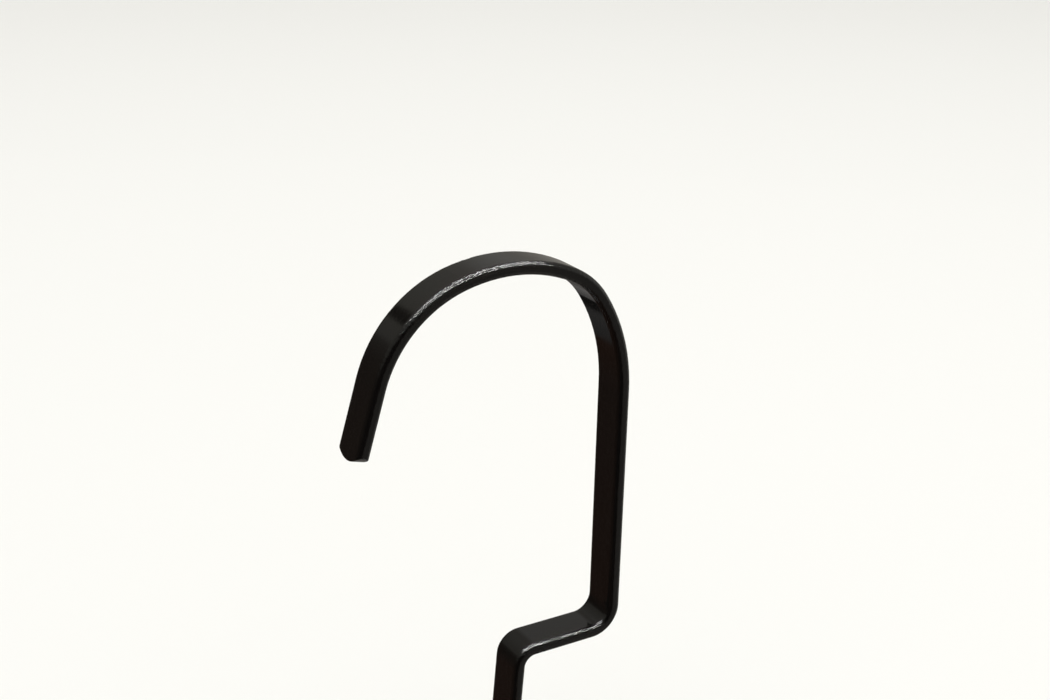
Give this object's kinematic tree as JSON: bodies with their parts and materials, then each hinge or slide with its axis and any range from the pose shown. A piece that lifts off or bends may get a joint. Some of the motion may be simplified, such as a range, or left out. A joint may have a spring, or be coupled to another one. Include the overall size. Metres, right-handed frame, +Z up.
{
  "type": "razor stand",
  "caption": "Bent flat-bar crook on a stepped shank, set in a turned socket on a round weighted base; a razor hangs in the crook.",
  "frame": {"origin": "centre of the base on the surface it stands on", "axes": "+Z up; the crook lies in the XZ plane with its free end towards -X; the flat of the bar faces X"},
  "size_m": [0.09, 0.09, 0.1717],
  "materials": {
    "black_powder_coat": "semi-gloss black powder coat with slight orange peel",
    "black_powder_coat_fine": "semi-gloss black powder coat over a turned surface",
    "black_oxide_steel": "black oxide, satin",
    "zinc_steel": "bright zinc",
    "zinc_plate": "zinc-plated sheet, satin",
    "grey_iron": "machined grey iron",
    "black_rubber": "matt moulded rubber"
  },
  "bodies": {
    "root": {"crook_arm": "black_powder_coat", "arm_socket": "black_powder_coat_fine", "grub_screw_1": "black_oxide_steel", "grub_screw_2": "black_oxide_steel", "socket_gasket": "black_rubber", "base_shell": "black_powder_coat", "ballast_disc": "grey_iron", "socket_screw_1": "zinc_steel", "socket_screw_2": "zinc_steel", "socket_washer_1": "zinc_steel", "socket_washer_2": "zinc_steel", "bottom_plate": "zinc_plate", "plate_screw_1": "black_oxide_steel", "plate_screw_2": "black_oxide_steel", "plate_screw_3": "black_oxide_steel", "foot_ring": "black_rubber"}
  },
  "joints": []
}
